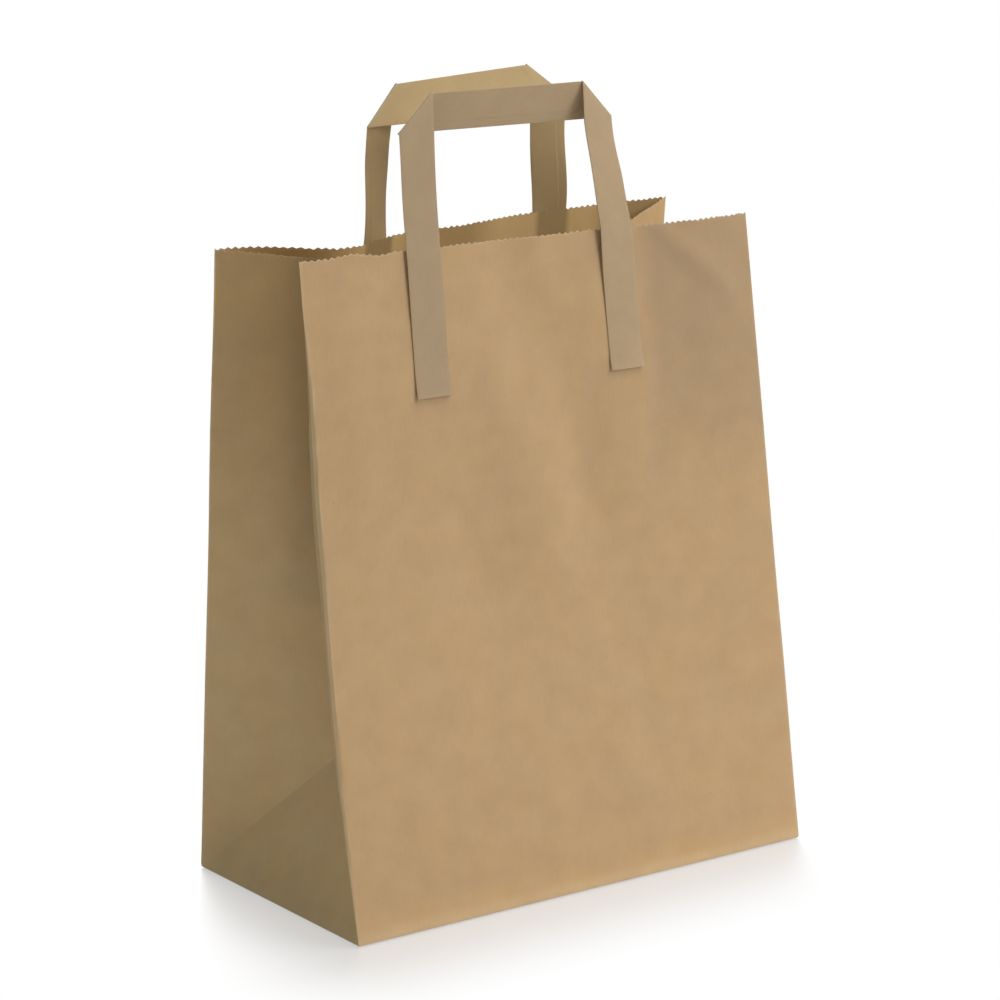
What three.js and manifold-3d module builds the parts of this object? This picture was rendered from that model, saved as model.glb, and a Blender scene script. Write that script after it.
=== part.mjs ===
// A paper carrier bag with a folded base, V-folded side gussets, a pinked top edge
// and two flat tape handles glued to the outside of its broad panels.
// Frame: X along the broad panels, Y from front to back, Z up, origin under the base's centre.

import * as THREE from 'three';
import { mergeVertices } from 'three/addons/utils/BufferGeometryUtils.js';
import Module from 'manifold-3d';

const wasm = await Module();
wasm.setup();

// Driving dimensions, in millimetres and degrees

const WIDTH = 254; // bottom edge of the front and back panels
const DEPTH = 140; // bottom edge of a side panel, which is also its sheet width
const HEIGHT = 305; // sheet height, from the bottom fold to the tips of the top edge
const WALL = 0.5; // wall of the solid, thicker than the paper it stands for
const FLOOR = 1.6; // folded layers of the base together
const PLY_STEP = 0.4; // step from one folded layer of the base to the next
const FOLD_RIM = 1.2; // band of the bottom folds that reaches the ground
const FLAP_OVERLAP = 15; // how far the rear bottom flap passes the middle of the base

const TOOTH_DEPTH = 1.3; // pinked top edge
const FRONT_TEETH = 75;
const SIDE_TEETH = 42;
const TOP_STRIP = 6; // strip of wall under the teeth

const APEX_HEIGHT = 76; // sheet height of the point where a side panel's folds meet
const APEX = { inset: 37, z: 66.4 }; // that point, from the side of the base
const CREASE_TOP = { inset: 61, y: 2, z: 292 }; // upper end of a gusset's middle crease

// Where the upright folds meet the top edge
const TOP_CORNERS = {
  frontLeft: [-125.8, -33.3, 302.0],
  frontRight: [125.3, -30.3, 301.8],
  backRight: [129.0, 37.0, 302.3],
  backLeft: [-127.5, 36.5, 300.5],
};

// The front left fold bows outwards and back over most of its height
const FOLD_BOW = { x: -2.5, y: 3.5, height: 290 };

// Dents of the back panel's top edge: place along the panel, half width and depth
const BACK_DENTS = [
  { x: -70, reach: 33, depth: 20 },
  { x: -5, reach: 32, depth: 8 },
];
const DENT_GROWTH = 2.2; // power by which a dent grows from the base to the top
const BACK_LEAN = 0.11; // inward slope of the back panel

const TAPE_WIDTH = 18.5;
const TAPE_THICKNESS = 0.8;
const GLUE_GAP = 0.4; // between a handle leg and its panel
const BAR_TILT = 23; // outward lean of a bar against its legs
const STRAIGHTENING = 35; // length of leg that straightens above the top edge

// Handles, left leg first. Foot and barTop are sheet heights, feet and folds the places of the legs'
// middle lines, lean the legs' inward slope above the bag, and twist the turn of a leg's outer edge
// towards the bag at its fold.
const FRONT_HANDLE = {
  outward: -1, foot: 237.5, barTop: 373, feet: [-60.6, 48], folds: [-62, 45], lean: [1, 13], twist: 4,
};
const REAR_HANDLE = {
  outward: 1, foot: 242.5, barTop: 377, feet: [-51.5, 61.5], folds: [-50.5, 55], lean: [8, 3.5], twist: 16,
};

// Mesh steps
const FRONT_COLUMNS = 15;
const BACK_COLUMNS = 42;
const GUSSET_COLUMNS = 4; // across each half of a side panel
const WALL_ROWS = 10; // above the side folds
const LEG_ROWS = 22;
const LEG_COLUMNS = 4;
const BAR_COLUMNS = 24;
const BAR_ROWS = 4;

// Helpers

const mix = (a, b, t) => a + (b - a) * t;
const mixPoint = (a, b, t) => a.map((value, axis) => mix(value, b[axis], t));
const clamp01 = (t) => Math.min(1, Math.max(0, t));
const smoothstep = (from, to, value) => THREE.MathUtils.smoothstep(value, from, to);
const tangent = (degrees) => Math.tan(THREE.MathUtils.degToRad(degrees));
const steps = (count) => Array.from({ length: count + 1 }, (_, i) => i / count);

// The folded sheet: each panel is a function of its place on the flat sheet

const BASE_CORNERS = {
  frontLeft: [-WIDTH / 2, -DEPTH / 2, 0],
  frontRight: [WIDTH / 2, -DEPTH / 2, 0],
  backRight: [WIDTH / 2, DEPTH / 2, 0],
  backLeft: [-WIDTH / 2, DEPTH / 2, 0],
};

// Point of an upright fold at a sheet height
function uprightFold(corner, height) {
  const point = mixPoint(BASE_CORNERS[corner], TOP_CORNERS[corner], height / HEIGHT);
  if (corner !== 'frontLeft') return point;
  const bow = Math.sin(Math.PI * clamp01(height / FOLD_BOW.height));
  return [point[0] + FOLD_BOW.x * bow, point[1] + FOLD_BOW.y * bow, point[2]];
}

function frontPanel(x, height) {
  const left = uprightFold('frontLeft', height);
  return mixPoint(left, uprightFold('frontRight', height), x / WIDTH + 0.5);
}

// The dents move the sheet forwards, and its fixed length then brings the edge down
function backPanel(x, height) {
  const left = uprightFold('backLeft', height);
  const point = mixPoint(left, uprightFold('backRight', height), x / WIDTH + 0.5);
  const atFolds = 1 - (2 * x / WIDTH) ** 8;
  const depth = atFolds * BACK_DENTS.reduce(
    (sum, dent) => sum + dent.depth * Math.exp(-(((x - dent.x) / dent.reach) ** 2)), 0);
  const rise = height / HEIGHT;
  const inward = depth * rise ** DENT_GROWTH;
  const curve = 2 * DENT_GROWTH - 1;
  const arch = (depth * DENT_GROWTH) ** 2 / (2 * HEIGHT * curve) * rise ** curve;
  return [point[0], point[1] - inward, point[2] - BACK_LEAN * inward - arch];
}

// A side panel has a flat triangle over the base and, above its slanting folds, two halves
// that run straight from the upright folds to the middle crease. Place runs from front to back.
function sidePanel(side, place, height) {
  const half = DEPTH / 2;
  const flatHalf = half * clamp01(1 - height / APEX_HEIGHT);
  const inTriangle = (y) => {
    const rise = Math.min(height, APEX_HEIGHT) / APEX_HEIGHT;
    return [side * (WIDTH / 2 - APEX.inset * rise), y, APEX.z * rise];
  };
  if (height < APEX_HEIGHT && Math.abs(place) <= flatHalf) return inTriangle(place);
  const apex = [side * (WIDTH / 2 - APEX.inset), 0, APEX.z];
  const creaseTop = [side * (WIDTH / 2 - CREASE_TOP.inset), CREASE_TOP.y, CREASE_TOP.z];
  const inner = height < APEX_HEIGHT
    ? inTriangle(Math.sign(place) * flatHalf)
    : mixPoint(apex, creaseTop, (height - APEX_HEIGHT) / (HEIGHT - APEX_HEIGHT));
  const outer = uprightFold((place < 0 ? 'front' : 'back') + (side < 0 ? 'Left' : 'Right'), height);
  return mixPoint(inner, outer, (Math.abs(place) - flatHalf) / (half - flatHalf));
}

// The wall as one loop, counter-clockwise from above: front, right side, back, left side
const PANELS = [
  { length: WIDTH, teeth: FRONT_TEETH, columns: FRONT_COLUMNS,
    at: (along, height) => frontPanel(along - WIDTH / 2, height) },
  { length: DEPTH, teeth: SIDE_TEETH, columns: 2 * GUSSET_COLUMNS, side: true,
    at: (along, height) => sidePanel(1, along - DEPTH / 2, height) },
  { length: WIDTH, teeth: FRONT_TEETH, columns: BACK_COLUMNS,
    at: (along, height) => backPanel(WIDTH / 2 - along, height) },
  { length: DEPTH, teeth: SIDE_TEETH, columns: 2 * GUSSET_COLUMNS, side: true,
    at: (along, height) => sidePanel(-1, DEPTH / 2 - along, height) },
];

// Stations around the loop, with a given number of equal parts on each panel
function stations(parts) {
  let start = 0;
  return PANELS.flatMap((panel) => {
    const count = parts(panel);
    const list = steps(count).slice(0, count).map((t) => ({ panel, t, place: start + t * panel.length }));
    start += panel.length;
    return list;
  });
}

// Moves a closed loop inwards by the wall, with its corners mitred
function insetLoop(loop) {
  const count = loop.length;
  const sideNormal = (i) => {
    const a = loop[i % count];
    const b = loop[(i + 1) % count];
    return new THREE.Vector2(a[1] - b[1], b[0] - a[0]).normalize();
  };
  return loop.map((point, i) => {
    const before = sideNormal(i + count - 1);
    const after = sideNormal(i);
    const shift = before.clone().add(after).multiplyScalar(WALL / (1 + before.dot(after)));
    return [point[0] + shift.x, point[1] + shift.y, point[2]];
  });
}

// Closed meshes

class MeshBuilder {
  constructor() {
    this.positions = [];
    this.triangles = [];
  }

  add(points) {
    const first = this.positions.length / 3;
    this.positions.push(...points.flat());
    return points.map((_, i) => first + i);
  }

  triangle(a, b, c) {
    this.triangles.push(a, b, c);
  }

  // Corners in turn; the quad is cut from its first corner to its third
  quad(a, b, c, d) {
    this.triangle(a, b, c);
    this.triangle(a, c, d);
  }

  geometry() {
    const geometry = new THREE.BufferGeometry();
    geometry.setAttribute('position', new THREE.Float32BufferAttribute(this.positions, 3));
    geometry.setIndex(this.triangles);
    return geometry;
  }
}

// A sheet from two grids of points, grid[row][column], joined around their borders
function sheetGeometry(face, reverse) {
  const mesh = new MeshBuilder();
  const front = face.map((row) => mesh.add(row));
  const rear = reverse.map((row) => mesh.add(row));
  const rows = face.length - 1;
  const columns = face[0].length - 1;
  for (let j = 0; j < rows; j += 1) {
    for (let i = 0; i < columns; i += 1) {
      mesh.quad(front[j][i], front[j][i + 1], front[j + 1][i + 1], front[j + 1][i]);
      mesh.quad(rear[j][i], rear[j + 1][i], rear[j + 1][i + 1], rear[j][i + 1]);
    }
    mesh.quad(front[j][0], front[j + 1][0], rear[j + 1][0], rear[j][0]);
    mesh.quad(front[j][columns], rear[j][columns], rear[j + 1][columns], front[j + 1][columns]);
  }
  for (let i = 0; i < columns; i += 1) {
    mesh.quad(front[0][i], rear[0][i], rear[0][i + 1], front[0][i + 1]);
    mesh.quad(front[rows][i], front[rows][i + 1], rear[rows][i + 1], rear[rows][i]);
  }
  return mesh.geometry();
}

function solidOf(geometry) {
  const bare = geometry.clone();
  bare.deleteAttribute('normal');
  bare.deleteAttribute('uv');
  const merged = mergeVertices(bare, 1e-5);
  return new wasm.Manifold(new wasm.Mesh({
    numProp: 3,
    vertProperties: Float32Array.from(merged.attributes.position.array),
    triVerts: Uint32Array.from(merged.index.array),
  }));
}

function geometryOf(solid) {
  const mesh = solid.getMesh();
  const geometry = new THREE.BufferGeometry();
  geometry.setAttribute('position', new THREE.BufferAttribute(mesh.vertProperties, 3));
  geometry.setIndex(new THREE.BufferAttribute(mesh.triVerts, 1));
  return geometry;
}

// Bag body: wall, base and pinked edge in one folded sheet

function wallGeometry() {
  const columns = stations((panel) => panel.columns);
  const count = columns.length;
  const folds = steps(GUSSET_COLUMNS).map((t) => t * APEX_HEIGHT);
  const upright = steps(WALL_ROWS).slice(1).map((t) => mix(APEX_HEIGHT, HEIGHT - TOP_STRIP, t));
  const heights = [...folds, ...upright];
  const loopAt = (height) => columns.map(({ panel, t }) => panel.at(t * panel.length, height));

  const mesh = new MeshBuilder();
  const outer = heights.map((height) => mesh.add(loopAt(height)));
  const inner = heights.map((height, j) => {
    const loop = insetLoop(loopAt(j === 0 ? FLOOR : height));
    return mesh.add(j === 0 ? loop.map(([x, y]) => [x, y, FLOOR]) : loop);
  });

  // Quads are cut along the slanting folds of the side panels
  for (let j = 0; j < heights.length - 1; j += 1) {
    for (let i = 0; i < count; i += 1) {
      const next = (i + 1) % count;
      const rising = columns[i].panel.side && columns[i].t < 0.5;
      const out = [outer[j][i], outer[j][next], outer[j + 1][next], outer[j + 1][i]];
      const into = [inner[j][i], inner[j + 1][i], inner[j + 1][next], inner[j][next]];
      mesh.quad(...(rising ? out : [...out.slice(1), out[0]]));
      mesh.quad(...(rising ? into : [...into.slice(1), into[0]]));
    }
  }

  // Base: a fan under the bag and one inside it
  const [under, over] = mesh.add([[0, 0, 0], [0, 0, FLOOR]]);
  for (let i = 0; i < count; i += 1) {
    const next = (i + 1) % count;
    mesh.triangle(under, outer[0][next], outer[0][i]);
    mesh.triangle(over, inner[0][i], inner[0][next]);
  }

  // Teeth: tips and valleys in turn along the top edge
  const teeth = stations((panel) => 2 * panel.teeth);
  const rim = teeth.map(({ panel, t }, i) =>
    panel.at(t * panel.length, HEIGHT - (i % 2 === 0 ? 0 : TOOTH_DEPTH)));
  const outerRim = mesh.add(rim);
  const innerRim = mesh.add(insetLoop(rim));
  const around = 2 * (WIDTH + DEPTH);
  const placeOf = (list, i) => list[i % list.length].place + (i >= list.length ? around : 0);
  const top = heights.length - 1;
  let low = 0;
  let high = 0;
  while (low < count || high < teeth.length) {
    const l = low % count;
    const h = high % teeth.length;
    const lowerFirst = placeOf(columns, low + 1) <= placeOf(teeth, high + 1);
    if (low < count && (lowerFirst || high === teeth.length)) {
      low += 1;
      mesh.triangle(outer[top][l], outer[top][low % count], outerRim[h]);
      mesh.triangle(inner[top][l], innerRim[h], inner[top][low % count]);
    } else {
      high += 1;
      const next = high % teeth.length;
      mesh.triangle(outer[top][l], outerRim[next], outerRim[h]);
      mesh.triangle(inner[top][l], innerRim[h], innerRim[next]);
      mesh.quad(outerRim[h], outerRim[next], innerRim[next], innerRim[h]);
    }
  }
  return mesh.geometry();
}

// Recess under the base, from an outline in X and Y
function recess(outline, depth) {
  const shape = new THREE.Shape(outline.map(([x, y]) => new THREE.Vector2(x, y)));
  const below = 1;
  const geometry = new THREE.ExtrudeGeometry(shape, { depth: depth + below, bevelEnabled: false });
  return solidOf(geometry.translate(0, 0, -below));
}

// The rear flap lies outermost, over the front flap, and the side triangles lie under both
function bagGeometry() {
  const x = WIDTH / 2 - FOLD_RIM;
  const y = DEPTH / 2 - FOLD_RIM;
  const tip = (WIDTH - DEPTH) / 2;
  const edge = tip - FLAP_OVERLAP;
  const underTriangle = (x + tip) / 2; // the flap's recess runs on into the deeper ones at the sides
  const rightHalf = [[x, -y], [underTriangle, 0], [tip, 0], [edge, -FLAP_OVERLAP]];
  const leftHalf = rightHalf.map((point) => [-point[0], point[1]]).reverse();
  const frontFlap = [...rightHalf, ...leftHalf];
  const sideTriangle = (side) => [[side * x, -y], [side * x, y], [side * tip, 0]];
  const solid = solidOf(wallGeometry())
    .subtract(recess(frontFlap, PLY_STEP))
    .subtract(recess(sideTriangle(1), 2 * PLY_STEP))
    .subtract(recess(sideTriangle(-1), 2 * PLY_STEP));
  return geometryOf(solid);
}

// Handles: a flat tape with a mitre fold at each end of its bar

function handleGeometry(handle, panel) {
  const { outward, foot, barTop, feet, folds, lean, twist } = handle;
  const barLow = barTop - TAPE_WIDTH * Math.cos(THREE.MathUtils.degToRad(BAR_TILT));
  const middle = (leg, height) => mix(feet[leg], folds[leg], (height - foot) / (barLow - foot));
  const anchors = [0, 1].map((leg) => panel(middle(leg, HEIGHT), HEIGHT));

  // Middle surface of the tape: on the panel, and above it straight up from the two legs
  const carried = (x, height) => {
    const edge = panel(x, HEIGHT);
    const below = panel(x, HEIGHT - 1);
    if (height <= HEIGHT) return panel(x, height);
    return edge.map((value, axis) => value + (value - below[axis]) * (height - HEIGHT));
  };
  const free = (x, height) => {
    const t = (x - anchors[0][0]) / (anchors[1][0] - anchors[0][0]);
    const point = mixPoint(anchors[0], anchors[1], t);
    const angle = THREE.MathUtils.degToRad(mix(lean[0], lean[1], t));
    const rise = height - HEIGHT;
    return [x, point[1] - outward * rise * Math.sin(angle), point[2] + rise * Math.cos(angle)];
  };
  const tapeAt = (x, height) =>
    mixPoint(carried(x, height), free(x, height), smoothstep(HEIGHT, HEIGHT + STRAIGHTENING, height));

  // A point at a distance outwards from that surface
  const offset = (x, height, distance) => {
    const centre = new THREE.Vector3(...tapeAt(x, height));
    const across = new THREE.Vector3(...tapeAt(x + 1, height)).sub(centre);
    const up = new THREE.Vector3(...tapeAt(x, height + 1)).sub(centre);
    const normal = across.cross(up).normalize().multiplyScalar(-outward);
    return centre.addScaledVector(normal, distance).toArray();
  };

  // Distance of the tape's outer face; a leg turns as it rises, and the bar hangs inwards below its top
  const ground = GLUE_GAP + TAPE_THICKNESS;
  const turn = TAPE_WIDTH * tangent(twist);
  const drop = TAPE_WIDTH * Math.sin(THREE.MathUtils.degToRad(BAR_TILT));
  const legDistance = (height, across) =>
    ground + turn * (across - 0.5) * smoothstep(HEIGHT, barLow, height);
  const barDistance = (x, across) => {
    const inside = Math.min(x - folds[0], folds[1] - x) - TAPE_WIDTH / 2;
    const beyond = clamp01(-inside / TAPE_WIDTH);
    return ground - TAPE_THICKNESS / 2 + turn / 2 - drop * (1 - across) + beyond * (drop - turn);
  };

  const sheet = (rows, columns, place) => {
    const grid = (depth) => steps(rows).map((v) => steps(columns).map((u) => {
      const { x, height, distance } = place(u, v);
      return offset(x, height, distance - depth);
    }));
    const face = grid(0);
    const reverse = grid(TAPE_THICKNESS);
    return solidOf(outward < 0 ? sheetGeometry(face, reverse) : sheetGeometry(reverse, face));
  };

  const leg = (index) => sheet(LEG_ROWS, LEG_COLUMNS, (u, v) => {
    const across = index === 0 ? u : 1 - u; // 0 at the outer edge, 1 at the inner edge
    const height = mix(foot, mix(barLow, barTop, across), v);
    const x = middle(index, Math.min(height, barLow)) + TAPE_WIDTH * (u - 0.5);
    return { x, height, distance: legDistance(height, across) };
  });
  const bar = sheet(BAR_ROWS, BAR_COLUMNS, (u, v) => {
    const end = TAPE_WIDTH * (v - 0.5);
    const x = mix(folds[0] + end, folds[1] - end, u);
    return { x, height: mix(barLow, barTop, v), distance: barDistance(x, v) };
  });
  return geometryOf(leg(0).add(bar).add(leg(1)));
}

// Scene graph

function piece(name, geometry, colour, roughness) {
  geometry.computeVertexNormals();
  const material = new THREE.MeshStandardMaterial({ color: colour, roughness, metalness: 0 });
  const mesh = new THREE.Mesh(geometry, material);
  mesh.name = name;
  return mesh;
}

const bag = new THREE.Group();
bag.name = 'paper_carrier_bag';
bag.add(piece('bag_body', bagGeometry(), 0xb8986e, 0.85));
bag.add(piece('front_handle', handleGeometry(FRONT_HANDLE, frontPanel), 0xae9676, 0.8));
bag.add(piece('rear_handle', handleGeometry(REAR_HANDLE, backPanel), 0xae9676, 0.8));

export default bag;
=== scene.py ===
# %% [markdown]
# # A brown paper carrier bag
# The real bag is one sheet of kraft paper, folded into a front, a back, two V-folded sides and a
# block bottom, with two flat paper tapes glued on as handles. Everything here is a surface worked
# out with numpy from the place of each point on the flat sheet, because that is how paper behaves:
# it bends and folds, but it does not stretch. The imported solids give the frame, and every new
# piece stands where its solid stands.

# %% Load the frame
import math

import bpy
import numpy as np
from mathutils import Matrix, Vector


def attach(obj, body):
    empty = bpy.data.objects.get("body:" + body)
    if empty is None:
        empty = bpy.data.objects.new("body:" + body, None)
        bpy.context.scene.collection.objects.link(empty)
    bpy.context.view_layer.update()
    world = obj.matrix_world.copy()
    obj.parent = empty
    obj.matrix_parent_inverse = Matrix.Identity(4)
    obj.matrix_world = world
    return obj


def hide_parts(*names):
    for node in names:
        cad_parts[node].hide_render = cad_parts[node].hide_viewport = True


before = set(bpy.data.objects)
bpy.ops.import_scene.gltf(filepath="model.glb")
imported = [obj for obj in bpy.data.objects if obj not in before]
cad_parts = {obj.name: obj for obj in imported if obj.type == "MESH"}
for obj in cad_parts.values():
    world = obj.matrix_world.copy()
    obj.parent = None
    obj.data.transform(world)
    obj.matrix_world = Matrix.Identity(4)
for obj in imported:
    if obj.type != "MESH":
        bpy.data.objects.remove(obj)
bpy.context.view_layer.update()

MM = 0.001  # the shapes are worked out in millimetres and put into the meshes in metres

# %% [markdown]
# ## The view
# The photograph looks at the front panel from its left, a little from above, with a long lens.
# A camera can be turned by angles or aimed at an empty; here its three axes are worked out from
# two angles and a small roll, so that the numbers can be read as a photographer would say them.

# %% Camera
VIEW_TURN = math.radians(34.858)  # how far round to the bag's left the camera stands
VIEW_DROP = math.radians(12.276)  # downwards
VIEW_ROLL = math.radians(-0.872)
VIEW_PLACE = (-0.8582, -1.2343, 0.5007)
LENS = 117.8
SENSOR = 36.0

forward = np.array([math.sin(VIEW_TURN) * math.cos(VIEW_DROP),
                    math.cos(VIEW_TURN) * math.cos(VIEW_DROP), -math.sin(VIEW_DROP)])
level = np.array([math.cos(VIEW_TURN), -math.sin(VIEW_TURN), 0.0])
upward = np.cross(level, forward)
right_axis = math.cos(VIEW_ROLL) * level + math.sin(VIEW_ROLL) * upward
up_axis = -math.sin(VIEW_ROLL) * level + math.cos(VIEW_ROLL) * upward

lens = bpy.data.cameras.new("camera")
lens.lens = LENS
lens.sensor_width = SENSOR
camera = bpy.data.objects.new("camera", lens)
axes = np.column_stack([right_axis, up_axis, -forward, VIEW_PLACE])
camera.matrix_world = Matrix(np.vstack([axes, [0, 0, 0, 1]]).tolist())
bpy.context.scene.collection.objects.link(camera)
bpy.context.scene.camera = camera
print("camera at", VIEW_PLACE, "lens", LENS)

# %% [markdown]
# ## The folded sheet
# Every point of the bag's wall has a place on the flat sheet: how far around the bag it is, and
# how high up. A folded panel is then a function from that place to a point in space. The broad
# panels hang between two upright folds, and each side panel has a flat triangle at its foot and two
# halves that run in to a middle crease. A modeller could push vertices by hand instead, but
# the functions keep each panel close to its cut size.

# %% Sizes of the sheet
WIDTH = 254.0  # bottom edge of the front and back panels
DEPTH = 140.0  # bottom edge and sheet width of a side panel
HEIGHT = 305.0  # sheet height up to the tips of the top edge
LOOP = 2 * (WIDTH + DEPTH)

APEX_HEIGHT = 76.0  # sheet height of the point where a side panel's folds meet
APEX_INSET, APEX_Z = 37.0, 66.4
CREASE_INSET, CREASE_Y, CREASE_Z = 61.0, 2.0, 292.0  # upper end of a side's middle crease

TOP_CORNERS = {
    "front_left": (-125.8, -33.3, 302.0),
    "front_right": (125.3, -30.3, 301.8),
    "back_right": (129.8, 37.0, 303.0),
    "back_left": (-127.5, 36.5, 300.5),
}
FOLD_BOW = (-2.5, 3.5, 0.0)  # the front left fold bows out over most of its height
FOLD_BOW_HEIGHT = 240.0
FOLD_BULGE = (-2.9, 2.5, 0.0)  # and a little more in the middle
FOLD_BULGE_HEIGHT, FOLD_BULGE_REACH = 215.0, 44.0

BACK_DENTS = ((-70.0, 33.0, 20.0), (-5.0, 32.0, 8.0))  # place, reach and depth at the top edge
DENT_GROWTH = 2.2
BACK_LEAN = 0.11
FRONT_HOLD, BACK_HOLD = 6, 8  # powers by which the upright folds hold the broad panels straight
BULGE_FADE = 8  # power by which the bulge dies away from its fold
print("sheet:", LOOP, "mm around and", HEIGHT, "mm high")


# %% Broad panels
def mix(a, b, t):
    """Straight blend from a to b."""
    return a + (b - a) * t


def smoothstep(low, high, value):
    """Rises from 0 at low to 1 at high, level at both ends: 3t^2 - 2t^3."""
    t = np.clip((value - low) / (high - low), 0, 1)
    return t * t * (3 - 2 * t)


def hill(value, centre, reach):
    """Bell of height 1: e to the minus square of the distance over the reach."""
    return np.exp(-((value - centre) / reach) ** 2)


def fold_bulge(height):
    """Bell-shaped push of the front left fold."""
    return hill(height, FOLD_BULGE_HEIGHT, FOLD_BULGE_REACH)[..., None] * np.array(FOLD_BULGE)


def upright_fold(corner, height):
    """Straight from a base corner to a top corner; the front left one bows by half a sine and a bell."""
    side = 1 if corner.endswith("right") else -1
    end = 1 if corner.startswith("back") else -1
    base = np.array([side * WIDTH / 2, end * DEPTH / 2, 0.0])
    point = mix(base, np.array(TOP_CORNERS[corner]), (height / HEIGHT)[..., None])
    if corner == "front_left":
        bow = np.sin(np.pi * np.clip(height / FOLD_BOW_HEIGHT, 0, 1))
        point = point + bow[..., None] * np.array(FOLD_BOW) + fold_bulge(height)
    return point


# Soft swells of the front panel: place, height, reach across and up, slant and depth outwards
FRONT_SWELLS = (
    (25.0, 120.0, 100.0, 85.0, 0.0, -5.0),
    (108.0, 300.0, 42.0, 75.0, 0.0, 4.5),
    (-8.0, 190.0, 19.0, 62.0, -0.29, 2.3),
    (-12.0, 275.0, 17.0, 38.0, -0.3, -1.8),
    (-42.0, 160.0, 16.0, 42.0, -0.2, -1.6),
    (24.0, 190.0, 15.0, 55.0, -0.2, -1.4),
    (50.0, 235.0, 24.0, 60.0, 0.0, 2.4),
    (-112.0, 230.0, 18.0, 90.0, 0.0, 1.4),
    (94.0, 284.0, 9.0, 20.0, -1.15, 1.8),
    (34.0, 45.0, 14.0, 24.0, -0.3, 1.0),
    (2.0, 307.0, 13.0, 9.0, 0.0, 0.8),
)
HELD_FOOT = 45.0  # height over which the bottom fold holds the panel flat


def front_swell(x, height):
    """Sum of bells, some drawn out aslant, held to nothing at the base and at both upright folds."""
    held = (1 - (2 * x / WIDTH) ** FRONT_HOLD) * smoothstep(0, HELD_FOOT, height)
    total = 0
    for place, middle, across, up, slant, depth in FRONT_SWELLS:
        sideways = x - slant * (height - middle)
        total = total + depth * hill(sideways, place, across) * hill(height, middle, up)
    return held * total


def front_panel(x, height):
    """Straight from fold to fold; the bulge dies away as a power, and the swells go forwards."""
    along = (x / WIDTH + 0.5)[..., None]
    point = mix(upright_fold("front_left", height), upright_fold("front_right", height), along)
    point = point + fold_bulge(height) * ((1 - along) ** BULGE_FADE - (1 - along))
    point[..., 1] -= front_swell(x, height)
    return point


def back_panel(x, height):
    """Straight from fold to fold; dents grow as a power of the height and lower the edge."""
    along = (x / WIDTH + 0.5)[..., None]
    point = mix(upright_fold("back_left", height), upright_fold("back_right", height), along)
    held = 1 - np.clip(np.abs(2 * x / WIDTH), 0, 1) ** BACK_HOLD
    depth = held * sum(deep * hill(x, place, reach) for place, reach, deep in BACK_DENTS)
    rise = np.maximum(height, 0) / HEIGHT
    inward = depth * rise**DENT_GROWTH
    power = 2 * DENT_GROWTH - 1
    arch = (depth * DENT_GROWTH) ** 2 / (2 * HEIGHT * power) * rise**power
    point[..., 1] -= inward
    point[..., 2] -= BACK_LEAN * inward + arch
    return point


edge_middles = [panel(np.zeros(1), np.full(1, HEIGHT))[0] for panel in (front_panel, back_panel)]
print("middles of the front and back edges:", [point.round(1).tolist() for point in edge_middles])


# %% Side panels and the whole loop
def points_of(x, y, z):
    """Puts three arrays together as an array of points."""
    return np.stack(np.broadcast_arrays(x, y, z), axis=-1)


def side_panel(side, place, height):
    """Flat triangle over the base; above it, straight from the middle crease to an upright fold."""
    half = DEPTH / 2
    rise = np.clip(height / APEX_HEIGHT, 0, 1)
    flat = half * (1 - rise)  # half width of the triangle at this height
    triangle_x = side * (WIDTH / 2 - APEX_INSET * rise)
    triangle = points_of(triangle_x, np.clip(place, -flat, flat), APEX_Z * rise)
    apex = np.array([side * (WIDTH / 2 - APEX_INSET), 0.0, APEX_Z])
    crease_top = np.array([side * (WIDTH / 2 - CREASE_INSET), CREASE_Y, CREASE_Z])
    above = np.maximum(height - APEX_HEIGHT, 0) / (HEIGHT - APEX_HEIGHT)
    crease = mix(apex, crease_top, above[..., None])
    inner = np.where((height < APEX_HEIGHT)[..., None], triangle, crease)
    name = "right" if side > 0 else "left"
    front_fold = upright_fold("front_" + name, height)
    outer = np.where((place < 0)[..., None], front_fold, upright_fold("back_" + name, height))
    out = np.clip((np.abs(place) - flat) / np.maximum(half - flat, 1e-6), 0, 1)
    return mix(inner, outer, out[..., None])


def on_side(around):
    """True on the two side panels."""
    along = np.mod(around, WIDTH + DEPTH)
    return along > WIDTH


def on_front(around):
    """True on the front panel."""
    return np.mod(around, LOOP) < WIDTH


def sheet_point(around, height):
    """The four panels in turn: front, right side, back, left side."""
    u = np.mod(around, LOOP)
    right_start, back_start, left_start = WIDTH, WIDTH + DEPTH, 2 * WIDTH + DEPTH
    choices = [
        front_panel(np.clip(u - WIDTH / 2, -WIDTH / 2, WIDTH / 2), height),
        side_panel(1, u - right_start - DEPTH / 2, height),
        back_panel(np.clip(WIDTH / 2 - (u - back_start), -WIDTH / 2, WIDTH / 2), height),
        side_panel(-1, DEPTH / 2 - (u - left_start), height),
    ]
    panels = [u < right_start, u < back_start, u < left_start, u >= left_start]
    return np.select([panel[..., None] for panel in panels], choices)


probe = sheet_point(np.array([0.0, WIDTH / 2, WIDTH + DEPTH / 2]), np.full(3, HEIGHT))
print("top of the front left fold, front middle and right crease:", probe.round(1).tolist())

# %% [markdown]
# ## Folds, base and pinked edge
# A real fold is not a knife edge: the paper turns in about a millimetre. A bevel would do it, but
# here the sharp sheet is simply averaged over a small window, which rounds every fold at once. Below
# the bottom fold the sheet turns under and runs in to the middle of the base, a step higher where it
# lies under the flaps. The top edge was cut with a toothed knife, so its height is a zigzag.

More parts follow.
